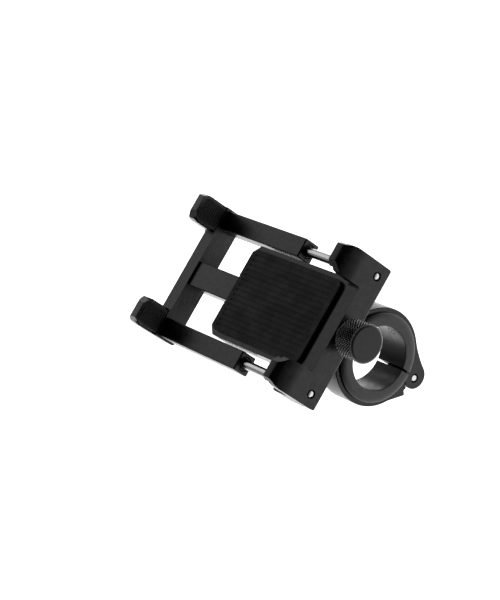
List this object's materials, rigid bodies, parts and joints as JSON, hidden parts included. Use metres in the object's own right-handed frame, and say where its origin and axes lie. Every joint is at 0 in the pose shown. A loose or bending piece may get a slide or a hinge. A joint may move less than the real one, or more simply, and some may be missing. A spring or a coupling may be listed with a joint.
{
  "type": "handlebar phone mount",
  "caption": "Black aluminium phone mount with a hinged handlebar clamp ring, a swivelling tray and clawed jaws closed by a knurled side knob.",
  "frame": {"origin": "centre of the handlebar bore, midway along the clamp ring", "axes": "+X along the handlebar towards the knob, +Y towards the top of the phone, +Z out of the phone's screen"},
  "size_m": [0.1007, 0.0514, 0.0701],
  "materials": {
    "anodised": "satin black anodised",
    "rubber": "matte black rubber",
    "shim_nylon": "moulded black plastic, slight sheen",
    "bush_nylon": "self-lubricating dark plastic",
    "bright_steel": "bright turned steel",
    "black_steel": "black oxide steel",
    "brass": "plain brass"
  },
  "bodies": {
    "clamp": {"clamp_arm": "anodised", "shim_half_fixed": "shim_nylon", "hinge_pin": "bright_steel"},
    "cap": {"clamp_cap": "anodised", "shim_half_swing": "shim_nylon", "bolt_washer": "bright_steel"},
    "bolt": {"clamp_bolt": "black_steel"},
    "holder": {"swivel_ring": "anodised", "swivel_screw_1": "bright_steel", "swivel_screw_2": "bright_steel", "swivel_screw_3": "bright_steel", "swivel_screw_4": "bright_steel", "base_tray": "anodised", "rest_pad": "rubber", "fixed_jaw": "anodised", "guide_rod_upper": "bright_steel", "guide_rod_lower": "bright_steel", "screw_bush": "brass", "thrust_washer": "bush_nylon", "fixed_pad_upper": "rubber", "fixed_pad_lower": "rubber"},
    "drive": {"knob": "anodised", "lead_screw": "bright_steel", "knob_grub_screw": "black_steel"},
    "slider": {"sliding_jaw": "anodised", "drive_nut": "brass", "rod_bush_upper": "bush_nylon", "rod_bush_lower": "bush_nylon", "sliding_pad_upper": "rubber", "sliding_pad_lower": "rubber"}
  },
  "joints": [
    {"name": "cap_swing", "type": "hinge", "parent": "clamp", "child": "cap", "pos_m": [0, 0.0013, -0.0192], "axis": [-1, 0, 0], "range_deg": [0, 90]},
    {"name": "bolt_turn", "type": "hinge", "parent": "cap", "child": "bolt", "pos_m": [0, 0.0013, 0.018], "axis": [0, 1, 0], "continuous": true},
    {"name": "holder_swivel", "type": "hinge", "parent": "clamp", "child": "holder", "pos_m": [0, -0.0023, 0.0254], "axis": [0, 0, 1], "continuous": true},
    {"name": "knob_spin", "type": "hinge", "parent": "holder", "child": "drive", "pos_m": [0.0212, -0.0023, 0.0306], "axis": [1, 0, 0], "range_deg": [-9000, 9000]},
    {"name": "jaw_slide", "type": "slide", "parent": "holder", "child": "slider", "axis": [-1, 0, 0], "range_m": [-0.0175, 0.0175]}
  ],
  "couplings": [
    {"joint": "knob_spin", "follows": "jaw_slide", "rad_per_m": 8976}
  ]
}
